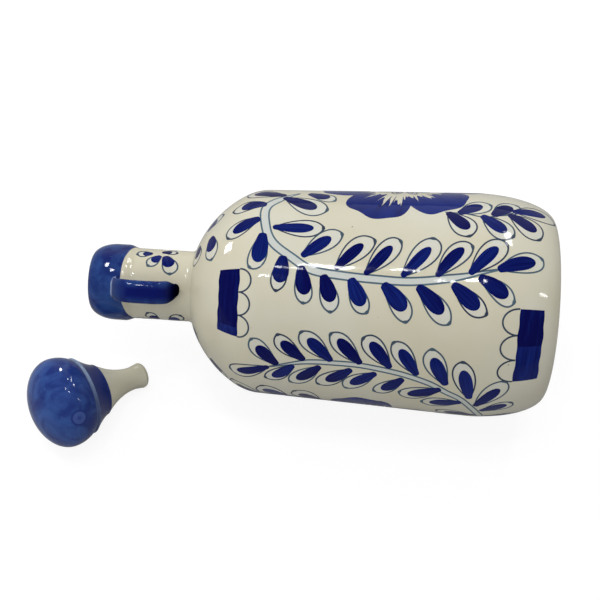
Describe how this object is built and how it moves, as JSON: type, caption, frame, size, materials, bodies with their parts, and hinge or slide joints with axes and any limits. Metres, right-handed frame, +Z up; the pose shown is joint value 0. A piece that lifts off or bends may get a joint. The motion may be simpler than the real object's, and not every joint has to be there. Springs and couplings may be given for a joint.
{
  "type": "oil bottle",
  "caption": "Glazed ceramic oil bottle lying on its side, with a tapered round body, a short neck with a rolled lip and a small strap handle, and its domed stopper laid beside the neck.",
  "frame": {"origin": "on the table, in the middle of the outline of the lying bottle and its stopper", "axes": "+Z up from the table, +X along the table from the mouth towards the base, +Y away from the stopper's side"},
  "size_m": [0.2446, 0.1272, 0.1046],
  "materials": {
    "cream_glaze": "glossy",
    "cobalt_glaze": "glossy"
  },
  "bodies": {
    "bottle": {"vessel_body": "cream_glaze", "neck": "cream_glaze", "handle": "cobalt_glaze"},
    "stopper": {"stopper": "cobalt_glaze"}
  },
  "joints": [
    {"name": "stopper_lift", "type": "slide", "parent": "bottle", "child": "stopper", "axis": [0, 0, 1], "range_m": [0, 0.11]}
  ]
}
